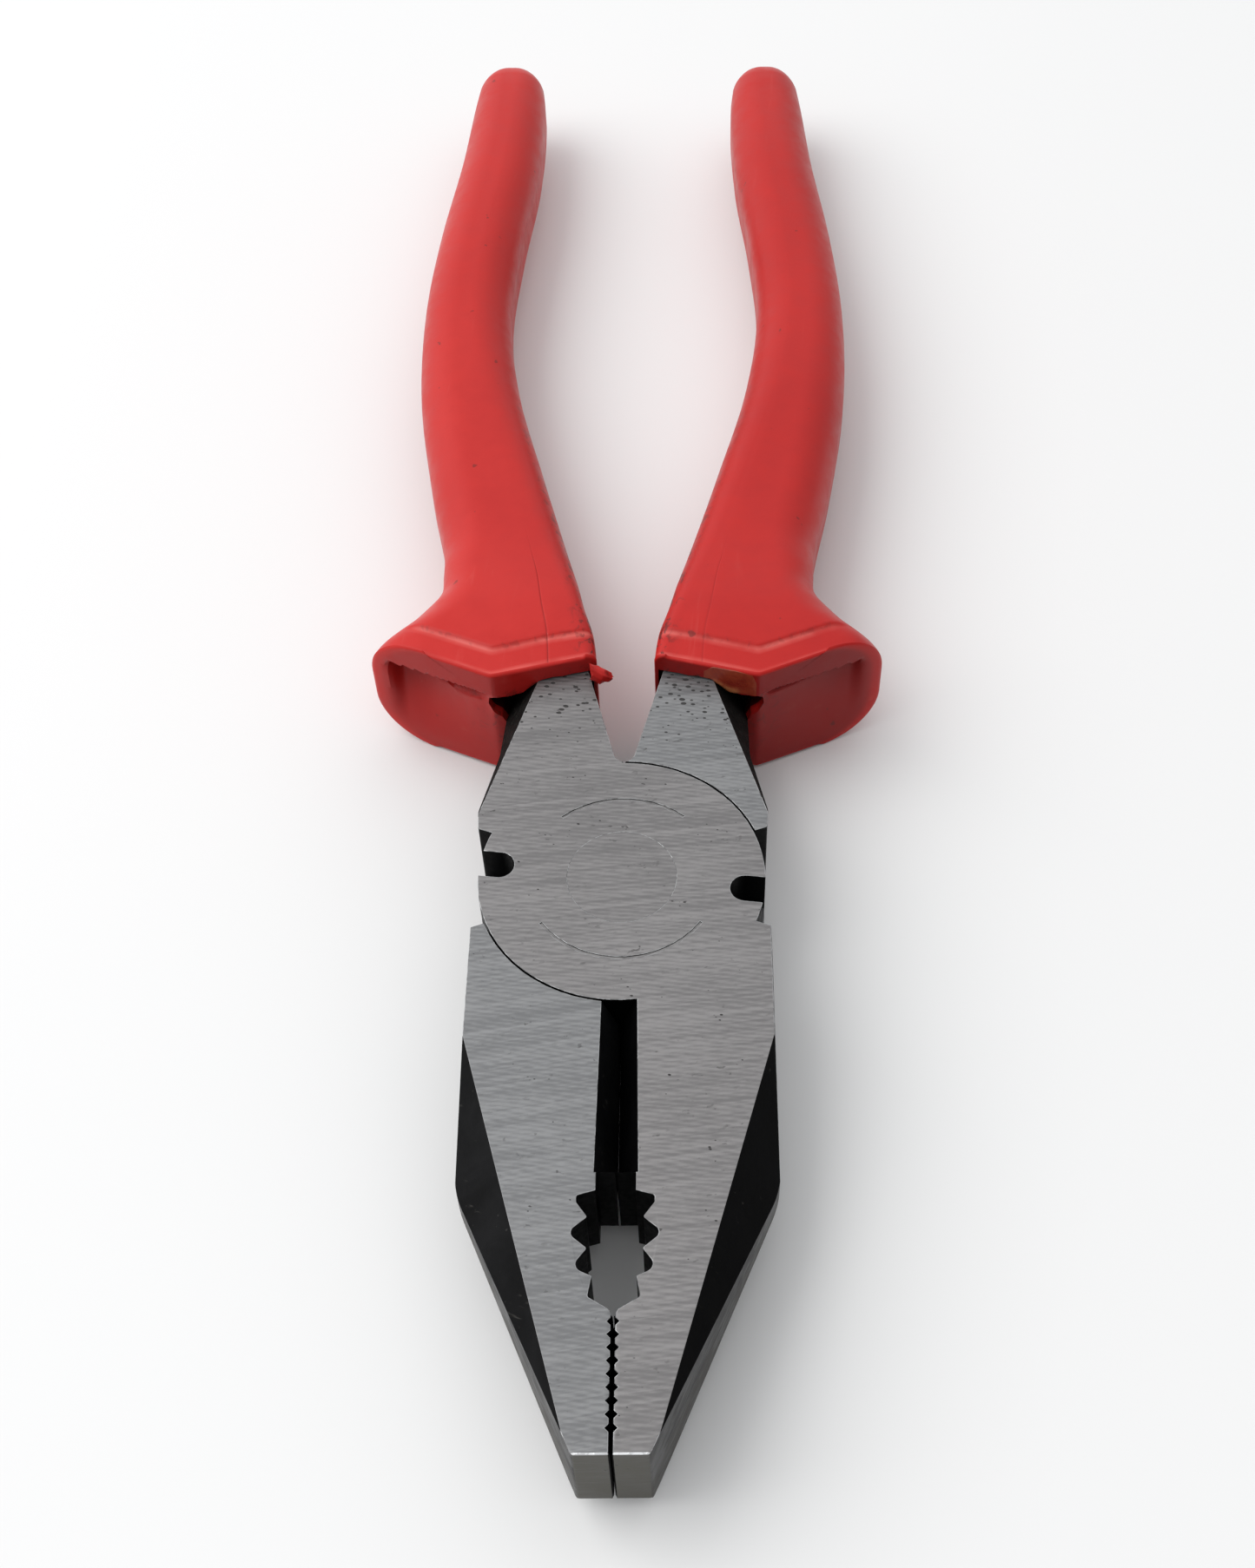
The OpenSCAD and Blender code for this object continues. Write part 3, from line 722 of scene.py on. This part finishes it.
RED_LEFT = moulded_red("moulded_red_a", (0.515, 0.019, 0.015), (0.44, 0.012, 0.010), 4.0)
# painted shade: the right sleeve's red is the same vinyl as the left's, made a little darker for the right
# side lying in shade
RED_RIGHT_SHADED = moulded_red("moulded_red_b_shaded", (0.475, 0.014, 0.011), (0.40, 0.009, 0.008), 9.0)
# painted shade: a near-black copy of the red for the pocket's walls, where only shade falls
POCKET_SHADE_RED = moulded_red("moulded_red_pocket_shade", (0.05, 0.004, 0.004), (0.02, 0.003, 0.003), 6.0)
# seed of the unevenness; the hollow's outer end, the sag of its lip, its depth, its groove's depth;
# how dark the parting line is, and how strong the painted shade on the front is
LEFT_STYLE = {
    "seed": 1.7, "reach": 26.9, "slot": 2.0, "floor": 3.2, "groove": 2.0, "line": 0.55, "shade": 0.42}
RIGHT_STYLE = {
    "seed": 6.2, "reach": 26.7, "slot": 0.4, "floor": 1.6, "groove": 1.6, "line": 0.3, "shade": 0.75}
sleeve("left_sleeve_moulding", "left_sleeve", "upper_half", -1, LEFT_STYLE, RED_LEFT)
sleeve("right_sleeve_moulding", "right_sleeve", "lower_half", 1, RIGHT_STYLE, RED_RIGHT_SHADED)

AMBER = cured_amber("cured_amber", 3.0)
for node in ("left_adhesive", "right_adhesive"):
    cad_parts[node].material_slots[0].material = AMBER


def flash_tag():
    """The torn flash left at the inner front corner of the left sleeve."""
    bm = bmesh.new()
    dirt_and_shade = bm.verts.layers.float.new("dirt_and_shade")
    points = 9
    # x, half height, half depth
    rings = (
        (-3.7, 1.15, 0.8), (-3.1, 1.1, 0.85), (-2.6, 0.95, 0.8), (-2.1, 0.9, 0.6),
        (-1.75, 0.55, 0.45), (-1.5, 0.12, 0.1))
    rows = []
    for i, (x, tall, deep) in enumerate(rings):
        row = []
        for j in range(points):
            a = math.radians(40 * j + 9 * i)
            k = 1 + 0.55 * noise.noise(Vector((x * 1.7, math.cos(a) * 1.3, math.sin(a) * 1.3)))
            lean = 0.35 * (x + 3.5)
            v = bm.verts.new((
                (x + 0.25 * math.sin(3 * a)) * MM,
                (26.1 - 0.25 * lean + deep * k * math.cos(a)) * MM,
                (MID + 7.2 - lean + tall * k * math.sin(a)) * MM))
            # darker towards its tip at x = -1.5 mm
            v[dirt_and_shade] = 0.2 + 0.8 * smooth(-2.2, -1.5, x)
            row.append(v)
        rows.append(row)
    for a, b in zip(rows, rows[1:]):
        for i in range(points):
            j = (i + 1) % points
            bm.faces.new((a[i], a[j], b[j], b[i]))
    bm.faces.new(rows[0])
    bm.faces.new(rows[-1])
    bmesh.ops.recalc_face_normals(bm, faces=bm.faces[:])
    edges = [e for e in bm.edges if e.calc_face_angle(0) > math.radians(20)]
    bmesh.ops.bevel(bm, geom=edges, offset=0.05 * MM, segments=2, affect="EDGES", profile=0.6)
    sharpen(bm, 42)
    new_object("left_sleeve_flash_tag", bm, [RED_LEFT], "upper_half")


def adhesive_bead():
    """Adhesive squeezed out at the right sleeve's mouth: a film with a bead along its lower edge."""
    bm = bmesh.new()
    bead_highlight = bm.verts.layers.float.new("bead_highlight")
    steps = 12
    front, back = [], []
    for x in [8.6 + 0.24 * i for i in range(25)]:
        low = 6.1 if x < 9.4 else 6.1 - (x - 9.4) * 0.8 if x < 11.4 else 4.5
        low -= 0.05
        high = 8.0 - 0.25 * smooth(12, 14.4, x)
        ends = smooth(8.5, 9.6, x) * (1 - smooth(13.9, 14.5, x))
        cols = []
        for j in range(steps + 1):
            t = j / steps
            z = low + (high - low) * t * (0.55 + 0.45 * ends)
            bead = math.exp(-((t - 0.1) / 0.12) ** 2) * smooth(9.4, 10.0, x) * (1 - smooth(12.0, 12.8, x))
            crown = math.sin(math.pi * min(max(t, 0.02), 0.98)) ** 0.5
            thick = (0.06 + 0.05 * noise.noise(Vector((x * 1.2, z * 1.2, 3.0)))) * crown
            thick = max(thick * ends, 0.004) + 0.16 * bead * ends
            y = FRONT + chevron(x)
            v = bm.verts.new((x * MM, (y - thick) * MM, (z + MID - 0.05 * bead) * MM))
            # painted highlight along the bead
            v[bead_highlight] = bead
            w = bm.verts.new((x * MM, (y + 0.12 + 0.3 * bead) * MM, (z + MID) * MM))
            cols.append((v, w))
        front.append([c[0] for c in cols])
        back.append([c[1] for c in cols])
    for a, b, a2, b2 in zip(front, front[1:], back, back[1:]):
        for j in range(steps):
            bm.faces.new((a[j], b[j], b[j + 1], a[j + 1]))
            bm.faces.new((a2[j], a2[j + 1], b2[j + 1], b2[j]))
        bm.faces.new((a[0], a2[0], b2[0], b[0]))
        bm.faces.new((a[steps], b[steps], b2[steps], a2[steps]))
    for row, row2 in ((front[0], back[0]), (front[-1], back[-1])):
        for j in range(steps):
            bm.faces.new((row[j], row[j + 1], row2[j + 1], row2[j]))
    bmesh.ops.recalc_face_normals(bm, faces=bm.faces[:])
    sharpen(bm, 60)
    new_object("right_adhesive_bead", bm, [AMBER], "lower_half")


flash_tag()
adhesive_bead()

# ---------------------------------------------------------------- floor, light and camera
FLOOR_Z = -2.76 * MM


def floor():
    bm = bmesh.new()
    bmesh.ops.create_grid(bm, x_segments=8, y_segments=8, size=4.0)
    mesh = bpy.data.meshes.new("floor")
    bm.to_mesh(mesh)
    bm.free()
    n = Nodes("floor_white", Roughness=0.8, Specular_IOR_Level=0.1)
    tone = n.noise(3.0, 0, 3, 0.5)
    mesh.materials.append(n.finish(n.mix(tone, (0.77, 0.77, 0.77), (0.80, 0.80, 0.80))))
    obj = bpy.data.objects.new("floor", mesh)
    obj.location.z = FLOOR_Z
    bpy.context.scene.collection.objects.link(obj)


def sky():
    """Soft surroundings: brightest overhead and toward the left rear, dimmest toward the right front."""
    world = bpy.data.worlds.new("studio")
    world.use_nodes = True
    bpy.context.scene.world = world
    tree = world.node_tree
    background = tree.nodes["Background"]
    coords = tree.nodes.new("ShaderNodeTexCoord")
    dot = tree.nodes.new("ShaderNodeVectorMath")
    dot.operation = "DOT_PRODUCT"
    dot.inputs[1].default_value = Vector((-0.36, 0.46, 0.81)).normalized()
    tree.links.new(coords.outputs["Generated"], dot.inputs[0])
    ramp = tree.nodes.new("ShaderNodeMapRange")
    ramp.inputs["From Min"].default_value = -0.2
    ramp.inputs["From Max"].default_value = 0.8
    ramp.inputs["To Min"].default_value = 0.3
    ramp.inputs["To Max"].default_value = 1.12
    tree.links.new(dot.outputs["Value"], ramp.inputs["Value"])
    tree.links.new(ramp.outputs[0], background.inputs["Strength"])
    background.inputs["Color"].default_value = (0.98, 0.99, 1.0, 1)


def softbox(name, place, aim, size, power, color):
    """A rectangular studio light at a place, aimed at a point."""
    light = bpy.data.lights.new(name, "AREA")
    light.shape = "RECTANGLE"
    light.size, light.size_y = size
    light.energy = power
    light.color = color
    obj = bpy.data.objects.new(name, light)
    obj.location = place
    obj.rotation_euler = (Vector(aim) - Vector(place)).to_track_quat("-Z", "Y").to_euler()
    bpy.context.scene.collection.objects.link(obj)


floor()
sky()
softbox("window_left", (-0.62, 0.12, 0.72), (0, 0.04, 0), (0.9, 0.9), 5.5, (1.0, 0.99, 0.975))

SENSOR = 36
LENS = 46.6445
SHIFT_X, SHIFT_Y = -0.048062, -0.000055
cam = bpy.data.objects.new("camera", bpy.data.cameras.new("camera"))
bpy.context.scene.collection.objects.link(cam)
cam.location = Vector((7.35, -118.51, 182.42)) * MM
cam.rotation_mode = "QUATERNION"
cam.rotation_quaternion = Vector((0.0048, 0.6063, -0.7952)).to_track_quat("-Z", "Y")
cam.data.sensor_width = SENSOR
cam.data.lens = LENS
cam.data.shift_x, cam.data.shift_y = SHIFT_X, SHIFT_Y
cam.data.clip_start, cam.data.clip_end = 0.01, 20
bpy.context.scene.camera = cam
bpy.context.scene.view_settings.view_transform = "Standard"
